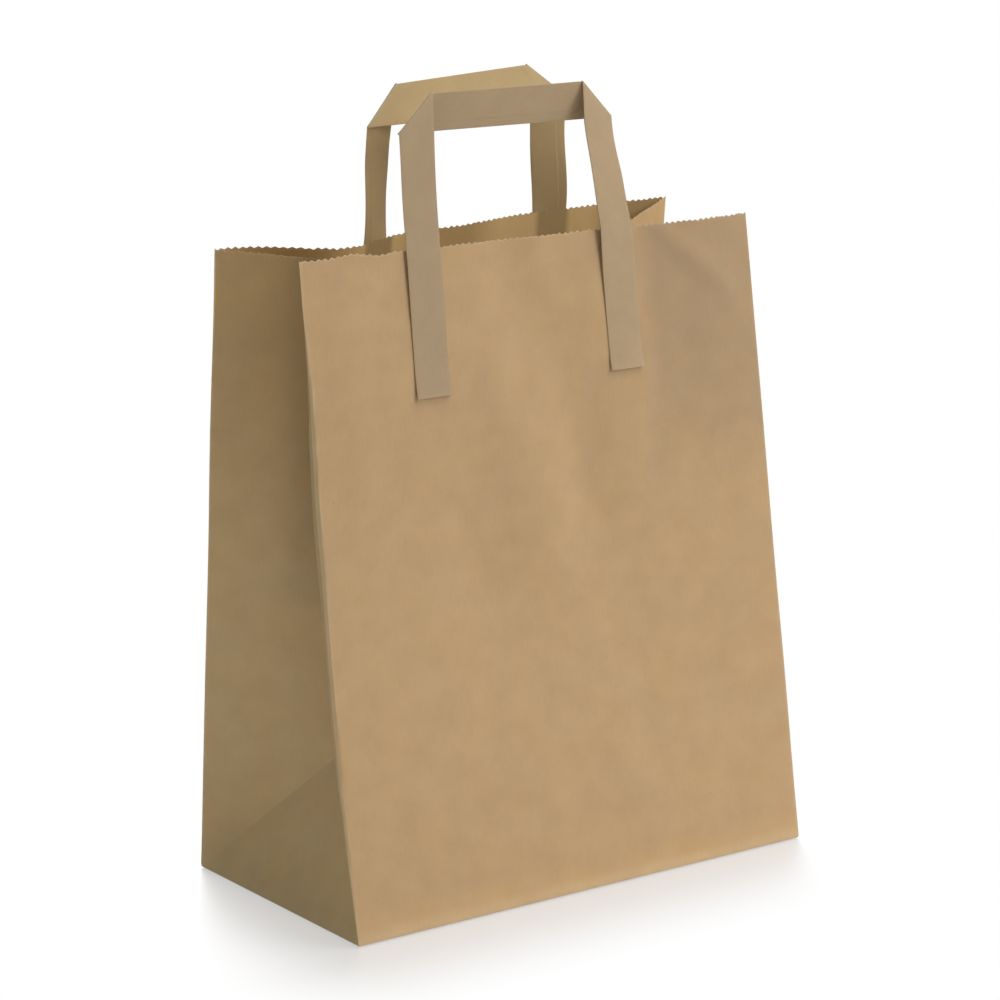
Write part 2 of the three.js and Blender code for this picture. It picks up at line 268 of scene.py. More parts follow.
# %% Rounded sheet
FOLD_RIM = 1.2  # band of the bottom folds that reaches the ground
PLY_STEP = 0.4  # step from one folded layer of the base to the next
FOLD_WINDOW = 0.7  # half width of the averaging window
SOFT_FOOT = 1.6  # what the bottom fold adds to the window
SOFT_FOOT_END = (2.0, 8.0)  # heights over which that ends
LAYER_RISE = (0.2, FOLD_RIM + 0.5)  # distances from the bottom fold over which a layer steps up
FACET_HEIGHTS = (0.0, 60.0, 150.0, 215.0, 285.0)  # the front left fold is pressed to a flat strip
FACET_HALVES = (0.0, 2.4, 4.0, 6.0, 0.0)  # half the strip's width at these heights
FACET_END = (8.0, 14.0)  # distances from the fold over which the strip ends
WINDOW = tuple(zip(np.linspace(-1, 1, 7), np.array([1, 6, 15, 20, 15, 6, 1]) / 64))  # binomial weights
LIFT_WINDOW = WINDOW[1::2]


def base_point(around, inward):
    """The bottom rectangle drawn in evenly from all sides, each flap at its own height."""
    edge = sheet_point(around, np.zeros_like(inward))
    layer = PLY_STEP * (1 + on_side(around)) * smoothstep(*LAYER_RISE, inward)
    x = edge[..., 0] * (1 - 2 * inward / WIDTH)
    y = edge[..., 1] * (1 - 2 * inward / DEPTH)
    return points_of(x, y, layer)


def turned_sheet(around, height):
    """The wall above the bottom fold, the base below it."""
    wall = sheet_point(around, np.maximum(height, 0))
    base = base_point(around, np.clip(-height, 0, DEPTH / 2))
    return np.where((height >= 0)[..., None], wall, base)


def facet_half(height):
    """Half width of the flat strip along the front left fold, straight between its given heights."""
    return np.interp(height, FACET_HEIGHTS, FACET_HALVES)


def rounded_sheet(around, height):
    """Weighted mean of the sharp sheet over a window; two shifted sheets average to the flat strip."""
    distance = np.abs(np.mod(around + LOOP / 2, LOOP) - LOOP / 2)
    spread = facet_half(height) * (1 - smoothstep(*FACET_END, distance))
    rise = FOLD_WINDOW + SOFT_FOOT * (1 - smoothstep(*SOFT_FOOT_END, np.abs(height)))
    total = 0
    for step, weight in WINDOW:
        for lift, lift_weight in LIFT_WINDOW:
            for shift in (-spread, spread):
                part = turned_sheet(around + step * FOLD_WINDOW + shift, height + lift * rise)
                total = total + weight * lift_weight * part
    return total / (2 * sum(lift_weight for _, lift_weight in LIFT_WINDOW))


corner = rounded_sheet(np.zeros(1), np.full(1, HEIGHT / 2))[0]
print("front left fold at half height:", corner.round(1).tolist())


# %% Grid of the wall
TOOTH_DEPTH, TOOTH_JITTER = 0.85, 0.12
EDGE_WAVES = ((27.0, 7.0, 1.0), (43.0, 5.0, -0.7))  # place, reach and lift of the front's cut edge
FRONT_TEETH, SIDE_TEETH = 75, 42
FLAT_ROWS = 42  # rows up to the apex, so that the slanting folds run through the grid's corners
MIDDLE_HEIGHT, MIDDLE_ROWS, UPPER_ROWS = 230, 20, 21  # rows lie closer above this height
TOP_STRIP = 6.0
STRIP_ROWS = (0.3, 0.6, 0.88, 1.0)  # shares of the strip below the teeth
FOLDS = np.array([0, WIDTH, WIDTH + DEPTH / 2, WIDTH + DEPTH, 2 * WIDTH + DEPTH, LOOP - DEPTH / 2])
FOLD_COLUMNS = np.array([-1.0, -0.45, 0.45, 1.0])  # extra columns beside each fold
UNDER_ROWS = (-70, -45, -20, -5, -1.9, -1.1, -0.5, 0, 0.5, 1.0)  # base and bottom fold
LEVEL_ROWS = 4  # those of the level base

rng = np.random.default_rng(11)

panel_teeth = ((0, WIDTH, FRONT_TEETH), (WIDTH, DEPTH, SIDE_TEETH),
               (WIDTH + DEPTH, WIDTH, FRONT_TEETH), (2 * WIDTH + DEPTH, DEPTH, SIDE_TEETH))
teeth = np.concatenate([
    start + size * np.arange(2 * count) / (2 * count) for start, size, count in panel_teeth
])
tooth_heights = HEIGHT - TOOTH_DEPTH * (np.arange(teeth.size) % 2) + rng.normal(0, TOOTH_JITTER, teeth.size)
tooth_heights += sum(lift * hill(teeth, place, reach) for place, reach, lift in EDGE_WAVES)
beside_folds = np.mod(np.add.outer(FOLDS, FOLD_COLUMNS).ravel(), LOOP)
columns = np.unique(np.concatenate([teeth, beside_folds]))
edge_height = np.interp(columns, teeth, tooth_heights, period=LOOP)

flat_rows = APEX_HEIGHT * np.arange(1, FLAT_ROWS + 1) / FLAT_ROWS
tall_rows = np.concatenate([
    np.linspace(APEX_HEIGHT, MIDDLE_HEIGHT, MIDDLE_ROWS)[1:],
    np.linspace(MIDDLE_HEIGHT, HEIGHT - TOP_STRIP, UPPER_ROWS)[1:],
])
fixed_rows = np.concatenate([UNDER_ROWS, flat_rows, tall_rows])
strip = np.array(STRIP_ROWS)[:, None]
wall_heights = np.concatenate([
    np.repeat(fixed_rows[:, None], columns.size, axis=1),
    mix(HEIGHT - TOP_STRIP, edge_height[None, :], strip),
])
wall_around = np.repeat(columns[None, :], wall_heights.shape[0], axis=0)
print("wall grid:", wall_heights.shape)

# %% [markdown]
# ## Thickness
# Paper is thin, but its cut edge shows at the top of the bag, so the sheet gets a second face, moved
# along the surface's own direction. The Solidify modifier does the same; doing it on the grid gives
# exact control of which edges close. Two grids and a border make one closed mesh, and points that
# fall together, as at the seam and the middle of the base, are welded.

# %% Helpers for sheets
MARKS = ("crease", "shade", "rose", "inner")  # what each point carries for the paper's colour, painted shade and light among it
WELD_GRID = 1e6  # points are welded on a grid of this many steps to the metre


def grid_normals(points, wrap=False):
    """Unit direction of a grid's face: step along the columns crossed with step along the rows."""
    if wrap:
        across = np.roll(points, -1, axis=1) - np.roll(points, 1, axis=1)
    else:
        across = np.gradient(points, axis=1)
    normal = np.cross(across, np.gradient(points, axis=0))
    return normal / np.maximum(np.linalg.norm(normal, axis=-1, keepdims=True), 1e-12)


def sheet_triangles(rows, cols, falling=None, tube=False):
    """Two grids joined round their borders; each cell is cut across, rising or falling."""
    face = np.arange(rows * cols).reshape(rows, cols)
    back = face + rows * cols

    def cells(grid):
        return np.stack([grid[:-1, :-1], grid[:-1, 1:], grid[1:, 1:], grid[1:, :-1]], -1)

    def turned(quads):
        if falling is not None:
            quads = np.where(falling[..., None], np.roll(quads, -1, axis=-1), quads)
        return quads.reshape(-1, 4)

    quads = [turned(cells(face)), turned(cells(back)[..., [0, 3, 2, 1]]),
             np.stack([face[-1, :-1], face[-1, 1:], back[-1, 1:], back[-1, :-1]], -1)]
    if not tube:
        quads += [np.stack([face[0, :-1], back[0, :-1], back[0, 1:], face[0, 1:]], -1),
                  np.stack([face[:-1, 0], face[1:, 0], back[1:, 0], back[:-1, 0]], -1),
                  np.stack([face[:-1, -1], back[:-1, -1], back[1:, -1], face[1:, -1]], -1)]
    quads = np.concatenate(quads)
    return np.concatenate([quads[:, [0, 1, 2]], quads[:, [0, 2, 3]]])


def make_piece(name, sheets, sharp_angle=35):
    """One welded mesh from sheets of face, back, triangles, UV on the sheet, and marks of both sides."""
    points, triangles, uvs, marks, start = [], [], [], [], 0
    for face, back, faces, uv, *sides in sheets:
        points += [face.reshape(-1, 3), back.reshape(-1, 3)]
        uvs += [uv.reshape(-1, 2)] * 2
        marks += [side.reshape(-1, len(MARKS)) for side in sides]
        triangles.append(faces + start)
        start += 2 * face.shape[0] * face.shape[1]
    points, triangles = np.concatenate(points) * MM, np.concatenate(triangles)
    uvs, marks = np.concatenate(uvs) * MM, np.concatenate(marks)

    welds = np.round(points * WELD_GRID).astype(np.int64)
    _, first, welded = np.unique(welds, axis=0, return_index=True, return_inverse=True)
    corners = welded.ravel()[triangles]
    whole = np.all(corners != np.roll(corners, 1, axis=1), axis=1)
    corners, sources = corners[whole], triangles[whole]

    mesh = bpy.data.meshes.new(name)
    mesh.vertices.add(first.size)
    mesh.vertices.foreach_set("co", points[first].astype(np.float32).ravel())
    mesh.loops.add(corners.size)
    mesh.loops.foreach_set("vertex_index", corners.astype(np.int32).ravel())
    mesh.polygons.add(len(corners))
    mesh.polygons.foreach_set("loop_start", np.arange(0, corners.size, 3, dtype=np.int32))
    mesh.uv_layers.new(name="sheet").data.foreach_set("uv", uvs[sources].astype(np.float32).ravel())
    for channel, label in enumerate(MARKS):
        layer = mesh.attributes.new(label, "FLOAT", "POINT")
        layer.data.foreach_set("value", marks[first, channel].astype(np.float32))
    mesh.update(calc_edges=True)
    mesh.validate()
    mesh.polygons.foreach_set("use_smooth", np.ones(len(mesh.polygons), dtype=bool))
    mesh.set_sharp_from_angle(angle=math.radians(sharp_angle))
    piece = bpy.data.objects.new(name, mesh)
    bpy.context.scene.collection.objects.link(piece)
    print(name, "points", len(mesh.vertices), "triangles", len(mesh.polygons))
    return piece


# %% [markdown]
# ## The bag
# The wall and its base are one grid. Its face carries faint ripples, as paper has that was once flat
# and pressed, made of a few dozen long waves that close around the loop. Four marks go with each
# point: how creased the paper is, which leaves it paler from broken fibres and from a painted highlight
# where a fold catches light; how much darker it is, as painted shade where a glued tape or a gusset backs
# it and less light comes through, near the left side's inner crease and in the back's inner corner, and
# lighter as painted light on the front's foot; how rosy it is, a tint that goes with that painted shade and
# light; and whether it is the inside. Light through paper could be traced as well, but painted marks render
# faster. The handles' sizes come first, because the rear legs show on the inside. The two broad flaps of
# the base are slabs of the same paper.

# %% Tape sizes
TAPE_WIDTH = 18.5
TAPE = 0.5  # thickness
GLUE = 0.06
BAR_TILT = math.radians(23)
STRAIGHTENING = 40.0  # length of leg that straightens above the top edge
FOLD_GAP = 0.62  # between the middles of leg and bar at the fold
PLY_EDGE = 4.5  # from the tape's outer edge
PLY_DEPTH = 0.16
FOOT_CURL, FOOT_CURL_REACH = 1.2, 4.0
GLUED_FOOT = 18.0  # length of leg that the glue holds down
LEG_LIFT = 0.9  # how far a leg stands off at the top edge
PEEL = 26.0  # from the top edge, half the length over which a leg turns edgewise

# Per handle, each pair left then right: lower ends, middles at the panel and at the folds, inward
# lean and edgewise turn in degrees, how much further in a fold's top lies, and how much darker a leg is
FRONT_HANDLE = dict(
    outward=-1, bar_top=372.6, foot=(238.2, 239.4), feet=(-61.9, 46.1), folds=(-61.3, 39.2),
    lean=(4.5, 7.5), twist=(0.0, 7.5), mitre=(1.0, -1.5), shade=(0.08, 0.0))
# The rear legs are darker as painted shade
REAR_HANDLE = dict(
    outward=1, bar_top=375.3, foot=(242.5, 242.5), feet=(-49.0, 58.4), folds=(-50.0, 59.9),
    lean=(9.2, 3.3), twist=(14.8, 13.7), mitre=(2.5, 4.6), shade=(0.13, 0.14))
print("tapes:", TAPE_WIDTH, "mm wide, bars up to", FRONT_HANDLE["bar_top"], "and", REAR_HANDLE["bar_top"])

# %% Ripples and marks of the wall
PAPER = 0.2  # thickness
RIPPLES = 48
RIPPLE_DEPTH = 0.13
RIPPLE_TURNS = (8, 40)  # least and most waves around the loop
RIPPLE_CLIMB = 0.05  # spread of the waves' slopes, in radians to the millimetre of height
RIPPLE_FULL = 12  # a wave with this many turns has full depth; more turns are shallower
RIPPLE_START = 30.0  # height over which the ripples begin

# How worn the folds are, with a painted highlight where they catch light, their widths, and heights over
# which they begin or end
CREASE_WEAR_AND_HIGHLIGHT, CREASE_WIDTH, INNER_START = 0.5, 1.1, 15.0  # upright folds and the sides' inner creases
STRIP_WEAR_AND_HIGHLIGHT, STRIP_WIDTH, STRIP_START, STRIP_END = 0.5, 1.0, (60, 190), (260, 285)  # edge of the flat strip
FOOT_WEAR_AND_HIGHLIGHT, SIDE_FOOT_WEAR_AND_HIGHLIGHT, FOOT_END, FOOT_LOW = 0.5, 0.3, (1.5, 8), -2  # bottom fold
SIDE_CREASE, SIDE_CREASE_WEAR = 155.0, 0.4  # faint cross creases in the side panels
LOW_CREASE, LOW_CREASE_WEAR = 89.0, 0.15
CROSS_WIDTH = 1.4

# Where painted shade darkens the paper: ranges across a panel and up it over which the tone sets in
GUSSET_ACROSS, GUSSET_UP = (50, 70), (165, 240)
DEEP_ACROSS, DEEP_UP, HALF_UP, TOP_UP = (18, 44), (110, 200), (0, 25), (150, 300)
DEEP_SHADE, TOP_SHADE = 0.20, 0.08
TAPE_BLUR, TAPE_FOOT_BLUR = 1.5, 2.0
# painted shade in the back's inner right corner, where little light reaches
CORNER_ACROSS, CORNER_UP, CORNER_SHARE = (78, 98), (190, 222), 0.75


def ripples(around, height):
    """Sum of waves of 20 to 100 mm, seeded in slope and phase; each closes around the loop."""
    turns = rng.integers(*RIPPLE_TURNS, RIPPLES)
    climbs = rng.normal(0, RIPPLE_CLIMB, RIPPLES)
    phases = rng.uniform(0, 2 * np.pi, RIPPLES)
    total = np.zeros_like(around)
    for turn, climb, phase in zip(turns, climbs, phases):
        total += np.sin(2 * np.pi * turn * around / LOOP + climb * height + phase) * (RIPPLE_FULL / turn)
    return RIPPLE_DEPTH * total / math.sqrt(RIPPLES / 2) * smoothstep(0, RIPPLE_START, height)


def loop_gap(around, places):
    """Distance around the loop to the nearest of some places."""
    gap = np.abs(np.mod(around[..., None] - np.asarray(places) + LOOP / 2, LOOP) - LOOP / 2)
    return gap.min(axis=-1)


def crease_mark(around, height):
    """Nearness to a fold: upright folds, flat strip, side creases, bottom fold and cross creases."""
    side = on_side(around)
    upright = hill(loop_gap(around, FOLDS[[0, 1, 3, 4]]), 0, CREASE_WIDTH)
    inner = hill(loop_gap(around, FOLDS[[2, 5]]), 0, CREASE_WIDTH)
    inner = inner * smoothstep(0, INNER_START, height - APEX_HEIGHT)
    line = np.mod(around + LOOP / 2, LOOP) - LOOP / 2 - facet_half(height)
    worn_and_lit = STRIP_WEAR_AND_HIGHLIGHT * hill(line, 0, STRIP_WIDTH) * smoothstep(*STRIP_START, height)
    worn_and_lit = worn_and_lit * (1 - smoothstep(*STRIP_END, height)) * (height > 0)
    foot = np.where(side, SIDE_FOOT_WEAR_AND_HIGHLIGHT, FOOT_WEAR_AND_HIGHLIGHT) * (1 - smoothstep(*FOOT_END, height))
    foot = foot * (height > FOOT_LOW)
    cross = SIDE_CREASE_WEAR * hill(height, SIDE_CREASE, CROSS_WIDTH)
    cross = cross + LOW_CREASE_WEAR * hill(height, LOW_CREASE, CROSS_WIDTH)
    return np.max([CREASE_WEAR_AND_HIGHLIGHT * upright, worn_and_lit, CREASE_WEAR_AND_HIGHLIGHT * inner, foot, np.where(side, cross, 0)], axis=0)


def gusset_mark(around, height):
    """1 where the side panel lies close behind the upper right of the front; it gives painted shade there.
    """
    x = np.mod(around, LOOP) - WIDTH / 2
    return smoothstep(*GUSSET_ACROSS, x) * smoothstep(*GUSSET_UP, height) * (x < WIDTH / 2)


def side_shade(around, height):
    """Painted shade: darker towards the left side's inner crease, on its front half and towards its top."""
    place = LOOP - DEPTH / 2 - np.mod(around, LOOP)
    left = np.abs(place) < DEPTH / 2
    deep = (1 - smoothstep(*DEEP_ACROSS, place)) * smoothstep(*DEEP_UP, height)
    slanting_fold = APEX_HEIGHT * (1 - np.abs(place) / (DEPTH / 2))
    half = (place < 0) * smoothstep(*HALF_UP, height - slanting_fold)
    return left * (DEEP_SHADE * np.maximum(deep, half) + TOP_SHADE * smoothstep(*TOP_UP, height))


def tape_and_corner_shade(around, height):
    """Painted shade inside the back: 1 behind the rear handle's glued legs, less in its right corner."""
    x = WIDTH / 2 - (np.mod(around, LOOP) - WIDTH - DEPTH)
    gap = np.abs(x[..., None] - np.array(REAR_HANDLE["feet"])).min(axis=-1) - TAPE_WIDTH / 2
    above_foot = height - REAR_HANDLE["foot"][0]
    tape = 1 - smoothstep(-TAPE_BLUR, TAPE_BLUR, gap)
    tape = tape * smoothstep(-TAPE_FOOT_BLUR, TAPE_FOOT_BLUR, above_foot)
    corner = CORNER_SHARE * smoothstep(*CORNER_ACROSS, x) * (x <= WIDTH / 2) * smoothstep(*CORNER_UP, height)
    return np.maximum(tape, corner)


wall_face = rounded_sheet(wall_around, wall_heights)
wall_normal = grid_normals(wall_face, wrap=True)
wall_normal[:LEVEL_ROWS] = (0, 0, -1)
wall_face = wall_face + wall_normal * ripples(wall_around, wall_heights)[..., None]
wall_back = wall_face - PAPER * wall_normal
print("wall from", wall_face.min((0, 1)).round(2), "to", wall_face.max((0, 1)).round(2))


# %% Bag piece
FLAP_OVERLAP = 15.0
CUT_EDGE = 0.9  # how pale the cut edge is
GUSSET_SHADE, GUSSET_ROSE, TAPE_SHADE = 0.15, 0.08, 0.42  # painted shade, rosier by the gusset, where less light comes through backed paper
SIDE_OLIVE = 0.08  # the upper part of a side is yellower, the tint of the painted shade there
FOOT_PAINTED_LIGHT = 0.10  # painted light: the strip above the bottom fold is paler and more golden, as if lit from the white table
OLIVE_UP, FOOT_LIGHT_UP, FOOT_LIGHT_LOW = (100, 300), (2, 18), -1  # heights over which these tones set in or end


def closed_loop(grid):
    """Repeats the first column after the last one, so that the seam can be welded."""
    return np.concatenate([grid, grid[:, :1]], axis=1)


def flap(end, reach, bottom):
    """Trapezium with 45 degree sides, from the bottom fold to past the middle of the base."""
    along, across = np.meshgrid(np.linspace(0, 1, 13), np.linspace(-1, 1, 41), indexing="ij")
    inward = mix(FOLD_RIM, reach, along)
    x = -end * across * (WIDTH / 2 - inward)
    face = points_of(x, end * (DEPTH / 2 - inward), np.full_like(x, bottom))
    back = face + (0, 0, PAPER)
    uv = np.stack([x + end * WIDTH, -inward], -1)
    plain = np.zeros(x.shape + (len(MARKS),))
    return face, back, sheet_triangles(*x.shape), uv, plain, plain


loop_around = np.concatenate([wall_around, wall_around[:, :1] + LOOP], axis=1)
loop_heights = closed_loop(wall_heights)
cell_middle = (loop_around[:-1, :-1] + loop_around[:-1, 1:]) / 2
falling = on_side(cell_middle) & (np.mod(cell_middle - WIDTH, WIDTH + DEPTH) > DEPTH / 2)
creases = crease_mark(loop_around, loop_heights)
creases[-1] = CUT_EDGE
gusset, tape = gusset_mark(loop_around, loop_heights), tape_and_corner_shade(loop_around, loop_heights)
# Painted light on the front's foot, as from the white table
foot = on_front(loop_around) * (1 - smoothstep(*FOOT_LIGHT_UP, loop_heights)) * (loop_heights > FOOT_LIGHT_LOW)
side_top = on_side(loop_around) * smoothstep(*OLIVE_UP, loop_heights)
# Painted shade from the gusset and the left side, less painted light on the front's foot; the roses tint the
# same places
shades = GUSSET_SHADE * gusset + side_shade(loop_around, loop_heights) - FOOT_PAINTED_LIGHT * foot
roses = GUSSET_ROSE * gusset - SIDE_OLIVE * side_top - FOOT_PAINTED_LIGHT / 2 * foot
plain = np.zeros_like(creases)
wall_sheet = (
    closed_loop(wall_face),
    closed_loop(wall_back),
    sheet_triangles(*loop_around.shape, falling=falling, tube=True),
    np.stack([loop_around, loop_heights], -1),
    np.stack([creases, shades, roses, plain], -1),
    np.stack([creases, TAPE_SHADE * tape, plain, plain + 1], -1),
)
bag = make_piece("paper_bag", [
    wall_sheet,
    flap(1, DEPTH / 2 + FLAP_OVERLAP, 0.0),
    flap(-1, DEPTH / 2 + FLAP_OVERLAP, PAPER),
])

# %% [markdown]
# ## The handles
# Each handle is one flat tape, folded from a wider strip so that its edges are closed and a ply edge
# runs along its reverse. It is glued up the panel, rises free, turns over a fold of about 45 degrees
# and crosses to the other leg. A curve with a bevel can't make such a mitre, so the tape is a ribbon
# in three coordinates that are easy to think in, along the panel, up the sheet and out from it, and
# is then laid onto the bag.

# %% Columns and rows of a tape
EDGE_COLUMNS = (0.006, 0.014, 0.986, 0.994)  # shares of the width, for the rounded edges
SEAM_COLUMNS = np.array([-0.02, -0.006, 0.006, 0.02])  # beside the ply edge
LENGTH_COLUMN = 6  # beside the ply edge too; the tape's length is measured along it
seam = PLY_EDGE / TAPE_WIDTH
tape_columns = np.unique(np.concatenate([np.linspace(0, 1, 11), EDGE_COLUMNS, seam + SEAM_COLUMNS]))
leg_steps = np.concatenate([np.linspace(0, 0.05, 7)[:-1], np.linspace(0.05, 1, 48)])
bar_steps = np.linspace(0, 1, 41)
wrap_steps = np.linspace(0, np.pi, 9)[1:-1]
LEAST_WIDTH = 0.02  # keeps a division away from nothing at the bar's top
FOLD_START = 0.75  # share of a leg above which it runs in to its fold
print("tape grid:", tape_columns.size, "columns; rows of a leg and a bar:", leg_steps.size, bar_steps.size)


# %% Ribbon of a handle
def ribbon(handle):
    """Up the left leg, over the fold as a half circle, along the bar, over the other fold and down."""
    bar_low = handle["bar_top"] - TAPE_WIDTH * math.cos(BAR_TILT)
    foot, folds, feet = handle["foot"], handle["folds"], handle["feet"]
    turns = TAPE_WIDTH * np.tan(np.radians(handle["twist"]))  # how far a leg's inner edge turns out
    drop = TAPE_WIDTH * math.sin(BAR_TILT)
    ground = GLUE + TAPE / 2
    a = tape_columns[None, :]
    fold_height = mix(bar_low, handle["bar_top"], a)

    def fold_x(index):
        return folds[index] + (1 - 2 * index) * (TAPE_WIDTH * (a - 0.5) + handle["mitre"][index] * a)

    def leg(index):
        height = mix(foot[index], fold_height, leg_steps[:, None])
        x = mix(feet[index], folds[index], np.clip((height - HEIGHT) / (bar_low - HEIGHT), 0, 1))
        x = x + (1 - 2 * index) * TAPE_WIDTH * (a - 0.5)
        x = mix(x, fold_x(index), smoothstep(FOLD_START, 1, leg_steps[:, None]))
        lift = LEG_LIFT * smoothstep(foot[index] + GLUED_FOOT, HEIGHT, height)
        turn = turns[index] * a * smoothstep(HEIGHT - PEEL, HEIGHT + PEEL, height)
        curl = FOOT_CURL * np.exp((foot[index] - height) / FOOT_CURL_REACH)
        return points_of(x, height, ground + lift + turn + curl)

    def fold_out(index):
        return ground + LEG_LIFT + turns[index] * a

    def wrap(index):
        slope = np.array([-(1 - 2 * index) * (handle["bar_top"] - bar_low), TAPE_WIDTH])
        slope = slope / np.linalg.norm(slope) * FOLD_GAP / 2
        angle = wrap_steps[:, None]
        out = fold_out(index) - FOLD_GAP / 2 * (1 - np.cos(angle))
        x = fold_x(index) + slope[0] * np.sin(angle)
        return points_of(x, fold_height + slope[1] * np.sin(angle), out)

    x = mix(fold_x(0), fold_x(1), bar_steps[:, None])
    left_top, right_top = fold_x(0)[:, -1:], fold_x(1)[:, -1:]
    along = np.clip((x - left_top) / (right_top - left_top), 0, 1)
    level = mix(fold_out(0)[:, -1:], fold_out(1)[:, -1:], along) - drop * (1 - a)
    ends = mix(fold_out(0), fold_out(1), np.round(bar_steps[:, None]))
    beyond = np.clip(np.maximum(left_top - x, x - right_top) / TAPE_WIDTH, 0, 1)
    near = smoothstep(0, 1, beyond / np.maximum(1 - a, LEAST_WIDTH))
    heights = np.repeat(fold_height, bar_steps.size, axis=0)
    bar = points_of(x, heights, mix(level, ends, near) - FOLD_GAP)
    return np.concatenate([leg(0), wrap(0), bar, wrap(1)[::-1], leg(1)[::-1]])


def laid_on_bag(handle, panel, strip_points):
    """On the panel below the edge, then straight up from the two legs, and out along the normal."""
    outward = handle["outward"]
    x, height, out = np.moveaxis(strip_points, -1, 0)
    legs = np.array(handle["feet"])
    anchors = panel(legs, np.full(2, HEIGHT))

    def surface(x, height):
        edge = panel(x, np.full_like(x, HEIGHT))
        slope = edge - panel(x, np.full_like(x, HEIGHT - 1))
        above = (height - HEIGHT)[..., None]
        carried = np.where(above > 0, edge + slope * above, panel(x, np.minimum(height, HEIGHT)))
        t = (x - legs[0]) / (legs[1] - legs[0])
        chord = mix(anchors[0], anchors[1], t[..., None])
        angle = np.radians(mix(*handle["lean"], t))
        rise = above[..., 0]
        free_y = chord[..., 1] - outward * rise * np.sin(angle)
        free = points_of(x, free_y, chord[..., 2] + rise * np.cos(angle))
        return mix(carried, free, smoothstep(HEIGHT, HEIGHT + STRAIGHTENING, height)[..., None])

    point = surface(x, height)
    normal = np.cross(surface(x + 1, height) - point, surface(x, height + 1) - point) * -outward
    return point + normal / np.linalg.norm(normal, axis=-1, keepdims=True) * out[..., None]


# %% Handle pieces
EDGE_REACH, EDGE_THINNING = 0.25, 0.85  # how far from its edge a tape thins, and by how much
SEAM_BLUR = 0.007
MITRE_WEAR, MITRE_WEAR_ROWS = 0.8, 3.5  # how worn a fold is, and over how many rows


def handle_piece(name, handle, panel):
    """Ribbon with a rounded section; the reverse steps down beside the ply edge."""
    local = ribbon(handle)
    middle = laid_on_bag(handle, panel, local)
    normal = grid_normals(middle)
    a = tape_columns[None, :, None]
    edge = np.minimum(a, 1 - a) * TAPE_WIDTH
    half = TAPE / 2 * np.sqrt(1 - EDGE_THINNING * (1 - np.clip(edge / EDGE_REACH, 0, 1)) ** 2)
    step = PLY_DEPTH * (1 - smoothstep(seam - SEAM_BLUR, seam + SEAM_BLUR, a))
    outside = half if handle["outward"] < 0 else half - step
    inside = half - step if handle["outward"] < 0 else half
    pieces = np.linalg.norm(np.diff(middle[:, LENGTH_COLUMN], axis=0), axis=-1)
    length = np.concatenate([[0], np.cumsum(pieces)])
    uv = np.stack(np.broadcast_arrays(tape_columns[None, :] * TAPE_WIDTH, length[:, None]), -1)
    rows = np.arange(len(middle))[:, None]
    first_fold = leg_steps.size + wrap_steps.size / 2
    fold = np.minimum(np.abs(rows - first_fold), np.abs(rows - (len(middle) - 1 - first_fold)))
    creased = np.repeat(MITRE_WEAR * hill(fold, 0, MITRE_WEAR_ROWS), tape_columns.size, axis=1)
    leg_end, shade_end = leg_steps.size, leg_steps.size + bar_steps.size // 2
    shaded_rows = [leg_end, shade_end, len(middle) - shade_end, len(middle) - leg_end]
    reach = np.interp(rows, shaded_rows, [1, 0, 0, 1])
    leg_shade = np.where(rows < len(middle) / 2, *handle["shade"]) * reach
    shades = np.repeat(leg_shade, tape_columns.size, axis=1)
    plain = np.zeros_like(creased)
    marks = np.stack([creased, shades, plain, plain], -1)
    triangles = sheet_triangles(*uv.shape[:2])
    sheet = (middle + normal * outside, middle - normal * inside, triangles, uv, marks, marks)
    print(name, "tape length", round(length[-1], 1))
    return make_piece(name, [sheet], sharp_angle=50)


front_tape = handle_piece("front_tape", FRONT_HANDLE, front_panel)
rear_tape = handle_piece("rear_tape", REAR_HANDLE, back_panel)

# %% [markdown]
# ## Kraft paper
# Kraft is pressed from long brown fibres: it is cloudy where they lie thick, streaked along the
# machine direction, and here and there a darker splinter shows. An image would give it at once, but it
# would not scale. So one node group mixes stretched and plain noise on the sheet's own coordinates,
# and all the papers use it with their own values: the bag's sheet is warm, and paler inside as painted
# light that stands in for light coming through it; the tapes are greyer, and the rear one is lighter as a
# painted lit copy of the same paper.

# %% Fibre group
WORN_AND_LIT_COLOUR = (0.60, 0.47, 0.31)  # of paper whose fibres are broken in a fold, paler still as a painted highlight where the fold catches light
WORN_AND_LIT_SHARE = 0.6
SPLINTER_LEVEL, SPLINTER_DARK = 0.73, 0.07
TINT_RED = 0.35  # how much a change of hue shows in red, against blue
ROUGH_BASE, ROUGH_STREAK = 0.72, 0.16
RELIEF_STREAK = 0.7
MIX_FACTOR, MIX_A, MIX_B, MIX_RESULT = 0, 6, 7, 2  # sockets of a Mix node that mixes colours


def new_node(tree, kind, place, **values):
    """Adds a node and sets its properties and input values by name."""
    node = tree.nodes.new(kind)
    node.location = place
    for key, value in values.items():
        if hasattr(node, key):
            setattr(node, key, value)
        else:
            node.inputs[key.replace("_", " ")].default_value = value
    return node


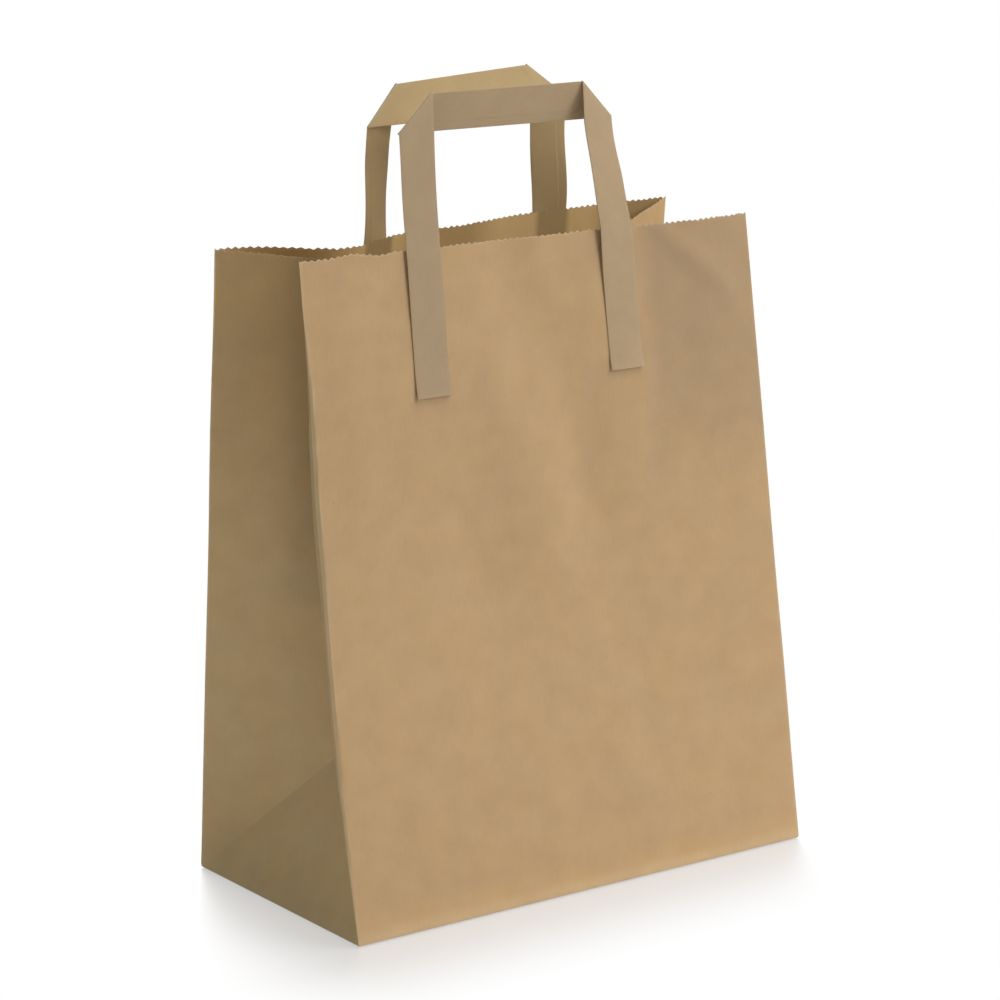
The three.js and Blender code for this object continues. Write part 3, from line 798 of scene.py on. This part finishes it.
def fibre_group():
    """Place on the sheet, colour and marks to the paper's colour, roughness and bump height."""
    group = bpy.data.node_groups.new("kraft_fibre", "ShaderNodeTree")
    face = group.interface
    face.new_socket("Vector", in_out="INPUT", socket_type="NodeSocketVector")
    face.new_socket("Color", in_out="INPUT", socket_type="NodeSocketColor")
    for label in ("Cloud", "Fibre", "Tint", "Crease", "Shade", "Rose"):
        face.new_socket(label, in_out="INPUT", socket_type="NodeSocketFloat")
    face.new_socket("Color", in_out="OUTPUT", socket_type="NodeSocketColor")
    face.new_socket("Roughness", in_out="OUTPUT", socket_type="NodeSocketFloat")
    face.new_socket("Height", in_out="OUTPUT", socket_type="NodeSocketFloat")
    links = group.links
    source = new_node(group, "NodeGroupInput", (-1200, 0))
    target = new_node(group, "NodeGroupOutput", (1000, 0))

    def noise(scale, stretch, detail, place):
        mapping = new_node(group, "ShaderNodeMapping", (place[0] - 200, place[1]))
        mapping.inputs["Scale"].default_value = stretch
        links.new(source.outputs["Vector"], mapping.inputs["Vector"])
        texture = new_node(group, "ShaderNodeTexNoise", place)
        texture.inputs["Scale"].default_value = scale
        texture.inputs["Detail"].default_value = detail
        links.new(mapping.outputs["Vector"], texture.inputs["Vector"])
        return texture.outputs["Fac"]

    def math_node(operation, first, second, place, third=0.0):
        node = new_node(group, "ShaderNodeMath", place, operation=operation)
        for socket, value in zip(node.inputs, (first, second, third)):
            if isinstance(value, (int, float)):
                socket.default_value = value
            else:
                links.new(value, socket)
        return node.outputs[0]

    def part(texture, label, row):
        around_zero = math_node("SUBTRACT", texture, 0.5, (-450, row))
        return math_node("MULTIPLY", around_zero, source.outputs[label], (-250, row))

    patches = noise(45, (1, 0.8, 1), 4, (-700, 650))
    cloud = noise(70, (1, 1, 1), 4, (-700, 400))
    streak = noise(420, (4, 0.35, 1), 3, (-700, 150))
    grain = noise(2600, (1, 0.6, 1), 2, (-700, -100))
    splinter = noise(900, (1, 0.3, 1), 1, (-700, -350))

    is_splinter = math_node("GREATER_THAN", splinter, SPLINTER_LEVEL, (-450, -350))
    dark = math_node("MULTIPLY", is_splinter, SPLINTER_DARK, (-250, -350))
    total = math_node("ADD", part(cloud, "Cloud", 400), part(streak, "Fibre", 150), (0, 300))
    total = math_node("ADD", total, part(grain, "Fibre", -100), (150, 250))
    total = math_node("SUBTRACT", total, dark, (300, 200))
    factor = math_node("ADD", total, 1.0, (600, 150))
    shade = math_node("SUBTRACT", 1.0, source.outputs["Shade"], (450, -50))
    factor = math_node("MULTIPLY", factor, shade, (700, 100))

    hue = math_node("SUBTRACT", part(patches, "Tint", 650), source.outputs["Rose"], (-100, 650))
    warm = new_node(group, "ShaderNodeCombineXYZ", (300, 600), Y=1.0)
    links.new(math_node("MULTIPLY_ADD", hue, TINT_RED, (0, 700), third=1.0), warm.inputs["X"])
    links.new(math_node("SUBTRACT", 1.0, hue, (0, 550)), warm.inputs["Z"])
    tinted = new_node(group, "ShaderNodeVectorMath", (500, 500), operation="MULTIPLY")
    links.new(source.outputs["Color"], tinted.inputs[0])
    links.new(warm.outputs[0], tinted.inputs[1])
    worn_and_lit = new_node(group, "ShaderNodeMix", (650, 450), data_type="RGBA")
    worn_and_lit.inputs[MIX_B].default_value = (*WORN_AND_LIT_COLOUR, 1)
    wear_and_highlight = math_node("MULTIPLY", source.outputs["Crease"], WORN_AND_LIT_SHARE, (450, 350))
    links.new(wear_and_highlight, worn_and_lit.inputs[MIX_FACTOR])
    links.new(tinted.outputs[0], worn_and_lit.inputs[MIX_A])
    scale = new_node(group, "ShaderNodeVectorMath", (800, 200), operation="SCALE")
    links.new(worn_and_lit.outputs[MIX_RESULT], scale.inputs[0])
    links.new(factor, scale.inputs["Scale"])
    links.new(scale.outputs[0], target.inputs["Color"])
    rough = math_node("MULTIPLY_ADD", streak, ROUGH_STREAK, (600, -200), third=ROUGH_BASE)
    links.new(rough, target.inputs["Roughness"])
    relief = math_node("ADD", math_node("MULTIPLY", streak, RELIEF_STREAK, (300, -300)), grain, (500, -350))
    links.new(relief, target.inputs["Height"])
    return group


FIBRES = fibre_group()
print("fibre group nodes:", len(FIBRES.nodes))


# %% Paper materials
SPECULAR = 0.25
BUMP_STRENGTH, BUMP_DEPTH = 0.35, 0.00012


def paper_material(name, colour, inner_colour, cloud, fibre, tint):
    """Principled paper from the fibre group on the sheet's UV; the inner mark picks the colour."""
    material = bpy.data.materials.new(name)
    material.use_nodes = True
    tree = material.node_tree
    shader = tree.nodes["Principled BSDF"]
    shader.inputs["Specular IOR Level"].default_value = SPECULAR
    place = new_node(tree, "ShaderNodeUVMap", (-900, 0), uv_map="sheet")
    fibres = new_node(tree, "ShaderNodeGroup", (-500, 0), node_tree=FIBRES)
    sides = new_node(tree, "ShaderNodeMix", (-700, 250), data_type="RGBA")
    sides.inputs[MIX_A].default_value = (*colour, 1)
    sides.inputs[MIX_B].default_value = (*inner_colour, 1)
    side_mark = new_node(tree, "ShaderNodeAttribute", (-900, 250), attribute_name="inner")
    tree.links.new(side_mark.outputs["Fac"], sides.inputs[MIX_FACTOR])
    tree.links.new(sides.outputs[MIX_RESULT], fibres.inputs["Color"])
    fibres.inputs["Cloud"].default_value = cloud
    fibres.inputs["Fibre"].default_value = fibre
    fibres.inputs["Tint"].default_value = tint
    for row, label in enumerate(("Crease", "Shade", "Rose")):
        corner = (-900, -200 - 200 * row)
        mark = new_node(tree, "ShaderNodeAttribute", corner, attribute_name=label.lower())
        tree.links.new(mark.outputs["Fac"], fibres.inputs[label])
    bump = new_node(tree, "ShaderNodeBump", (-250, -250))
    bump.inputs["Strength"].default_value = BUMP_STRENGTH
    bump.inputs["Distance"].default_value = BUMP_DEPTH
    tree.links.new(place.outputs["UV"], fibres.inputs["Vector"])
    tree.links.new(fibres.outputs["Color"], shader.inputs["Base Color"])
    tree.links.new(fibres.outputs["Roughness"], shader.inputs["Roughness"])
    tree.links.new(fibres.outputs["Height"], bump.inputs["Height"])
    tree.links.new(bump.outputs["Normal"], shader.inputs["Normal"])
    return material


# The inside is paler and yellower as painted light, standing in for light that comes through the paper
SHEET_COLOUR, SHEET_INSIDE_LIT = (0.479, 0.316, 0.163), (0.70, 0.490, 0.228)
TAPE_COLOUR = (0.424, 0.305, 0.181)
REAR_TAPE_LIT_COLOUR = (0.475, 0.340, 0.168)  # a little lighter than the front tape: a painted lit copy of the same paper
SHEET_TEXTURE = dict(cloud=0.21, fibre=0.12, tint=0.2)
TAPE_TEXTURE = dict(cloud=0.16, fibre=0.12, tint=0.1)

bag.data.materials.append(paper_material("kraft_sheet", SHEET_COLOUR, SHEET_INSIDE_LIT, **SHEET_TEXTURE))
front_tape.data.materials.append(paper_material("kraft_tape", TAPE_COLOUR, TAPE_COLOUR, **TAPE_TEXTURE))
rear_tape.data.materials.append(
    paper_material("kraft_tape_rear_lit", REAR_TAPE_LIT_COLOUR, REAR_TAPE_LIT_COLOUR, **TAPE_TEXTURE))

for piece, node, slot in ((bag, "bag_body", "kraft_sheet"), (front_tape, "front_handle", "kraft_tape"),
                          (rear_tape, "rear_handle", "kraft_tape")):
    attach(piece, "root")
    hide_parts(node)
    print(piece.name, "stands for", node)

# %% [markdown]
# ## Floor and light
# The photograph is a studio shot on white. A broad lamp stands high on the right, a softer one in
# front and one behind, and three small low ones give the light that a white table sends back. A lit
# table could give that too, but then it would not stay plain white. The floor is a pale surface; the
# camera sees it with a faint shadow and a blurred reflection, fading into the white of the backdrop,
# which adds no diffuse light to the bag.

# %% Floor
FLOOR_SIZE = 6.0
FLOOR_DROP = 0.0003
FADE_START, FADE_END = 0.0, 0.085  # distance from the base over which the floor turns plain white
SHADOW_SHARE = 0.17  # how much of the floor's own shading the camera sees
GLOSS_SHARE = 0.38
GLOSS_ROUGHNESS = 0.42
FLOOR_GREY, FLOOR_ROUGHNESS, FLOOR_SPECULAR = 0.86, 0.9, 0.1


def mix_shaders(tree, factor, first, second, place):
    """Blend of two shaders by a value or by a socket."""
    blend = new_node(tree, "ShaderNodeMixShader", place)
    if isinstance(factor, float):
        blend.inputs[0].default_value = factor
    else:
        tree.links.new(factor, blend.inputs[0])
    tree.links.new(first, blend.inputs[1])
    tree.links.new(second, blend.inputs[2])
    return blend.outputs[0]


def floor_material():
    """Pale floor for the light; for the camera white, with a faint shadow and a blurred reflection."""
    material = bpy.data.materials.new("pale_floor")
    material.use_nodes = True
    tree = material.node_tree
    pale = tree.nodes["Principled BSDF"]
    pale.inputs["Base Color"].default_value = (FLOOR_GREY, FLOOR_GREY, FLOOR_GREY, 1)
    pale.inputs["Roughness"].default_value = FLOOR_ROUGHNESS
    pale.inputs["Specular IOR Level"].default_value = FLOOR_SPECULAR
    white = new_node(tree, "ShaderNodeEmission", (-300, -200)).outputs[0]
    gloss = new_node(tree, "ShaderNodeBsdfGlossy", (-300, -400), Roughness=GLOSS_ROUGHNESS).outputs[0]
    place = new_node(tree, "ShaderNodeTexCoord", (-900, 300))
    half_base = (WIDTH / 2 * MM, DEPTH / 2 * MM, 1)
    steps = (("ABSOLUTE", None), ("SUBTRACT", half_base), ("MAXIMUM", (0, 0, 0)), ("LENGTH", None))
    distance = place.outputs["Object"]
    for column, (operation, value) in enumerate(steps):
        node = new_node(tree, "ShaderNodeVectorMath", (-1300 + 180 * column, 300), operation=operation)
        tree.links.new(distance, node.inputs[0])
        if value is not None:
            node.inputs[1].default_value = value
        distance = node.outputs["Value" if operation == "LENGTH" else "Vector"]
    fade = new_node(tree, "ShaderNodeMapRange", (-500, 300), interpolation_type="SMOOTHSTEP")
    fade.inputs["From Min"].default_value = FADE_START
    fade.inputs["From Max"].default_value = FADE_END
    tree.links.new(distance, fade.inputs["Value"])
    shaded = mix_shaders(tree, SHADOW_SHARE, white, pale.outputs[0], (300, 0))
    table = mix_shaders(tree, GLOSS_SHARE, shaded, gloss, (500, -100))
    backdrop = mix_shaders(tree, fade.outputs["Result"], table, white, (700, -100))
    seen = new_node(tree, "ShaderNodeLightPath", (600, 400)).outputs["Is Camera Ray"]
    surface = mix_shaders(tree, seen, pale.outputs[0], backdrop, (900, 0))
    tree.links.new(surface, tree.nodes["Material Output"].inputs["Surface"])
    return material


half_floor = FLOOR_SIZE / 2
floor_mesh = bpy.data.meshes.new("floor")
corner_signs = ((-1, -1), (1, -1), (1, 1), (-1, 1))
floor_corners = [(x * half_floor, y * half_floor, -FLOOR_DROP) for x, y in corner_signs]
floor_mesh.from_pydata(floor_corners, [], [(0, 1, 2, 3)])
floor_mesh.materials.append(floor_material())
floor = bpy.data.objects.new("floor", floor_mesh)
bpy.context.scene.collection.objects.link(floor)
print("floor:", FLOOR_SIZE, "m square")


# %% Lamps and surroundings
NEUTRAL, COOL = (1.0, 1.0, 1.0), (0.80, 1.0, 0.94)
# Name, place, aim, size, power and colour of each lamp
LAMPS = (
    ("key", (1.22, -0.70, 2.81), (0, 0, 0.16), 1.6, 54.0, NEUTRAL),  # high on the right
    ("front", (1.49, -2.13, 1.66), (0, 0, 0.16), 1.2, 28.0, NEUTRAL),  # softens the shade in the mouth
    ("back", (0.73, 1.99, 2.28), (0, 0, 0.16), 1.6, 38.0, NEUTRAL),  # keeps the rear readable
    ("fill", (-0.75, 0.05, 0.08), (0, 0, 0.05), 0.3, 1.1, COOL),  # low, as light back from a table
    ("table_right", (0.22, -0.40, 0.03), (0.02, -0.07, 0.03), 0.25, 0.26, NEUTRAL),  # the same, in front
    ("table_left", (-0.35, -0.55, 0.03), (-0.05, -0.07, 0.03), 0.25, 0.34, NEUTRAL),
)
AMBIENT = 0.15
AMBIENT_COLOUR = (0.97, 1.0, 0.97)


def area_lamp(name, place, aim, size, power, colour):
    """Square lamp that faces a point: its local -Z axis is turned along the line to it."""
    lamp = bpy.data.lights.new(name, "AREA")
    lamp.size = size
    lamp.energy = power
    lamp.color = colour
    holder = bpy.data.objects.new(name, lamp)
    turn = (Vector(place) - Vector(aim)).to_track_quat("Z", "Y")
    holder.matrix_world = Matrix.Translation(place) @ turn.to_matrix().to_4x4()
    bpy.context.scene.collection.objects.link(holder)


for lamp_values in LAMPS:
    area_lamp(*lamp_values)

world = bpy.data.worlds.new("studio")
bpy.context.scene.world = world
world.use_nodes = True
tree = world.node_tree
ambient = tree.nodes["Background"]
ambient.inputs["Color"].default_value = (*AMBIENT_COLOUR, 1)
ambient.inputs["Strength"].default_value = AMBIENT
backdrop = new_node(tree, "ShaderNodeBackground", (0, -200))
backdrop.inputs["Color"].default_value = (1, 1, 1, 1)
path = new_node(tree, "ShaderNodeLightPath", (-600, 300))
seen = path.outputs["Is Camera Ray"]
for row, label in enumerate(("Is Glossy Ray", "Is Transmission Ray")):
    either = new_node(tree, "ShaderNodeMath", (-400 + 200 * row, 300), operation="MAXIMUM")
    tree.links.new(seen, either.inputs[0])
    tree.links.new(path.outputs[label], either.inputs[1])
    seen = either.outputs[0]
surroundings = mix_shaders(tree, seen, ambient.outputs[0], backdrop.outputs[0], (200, 100))
tree.links.new(surroundings, tree.nodes["World Output"].inputs["Surface"])
bpy.context.scene.view_settings.view_transform = "Standard"
print("lamps", len(LAMPS), "ambient", AMBIENT)
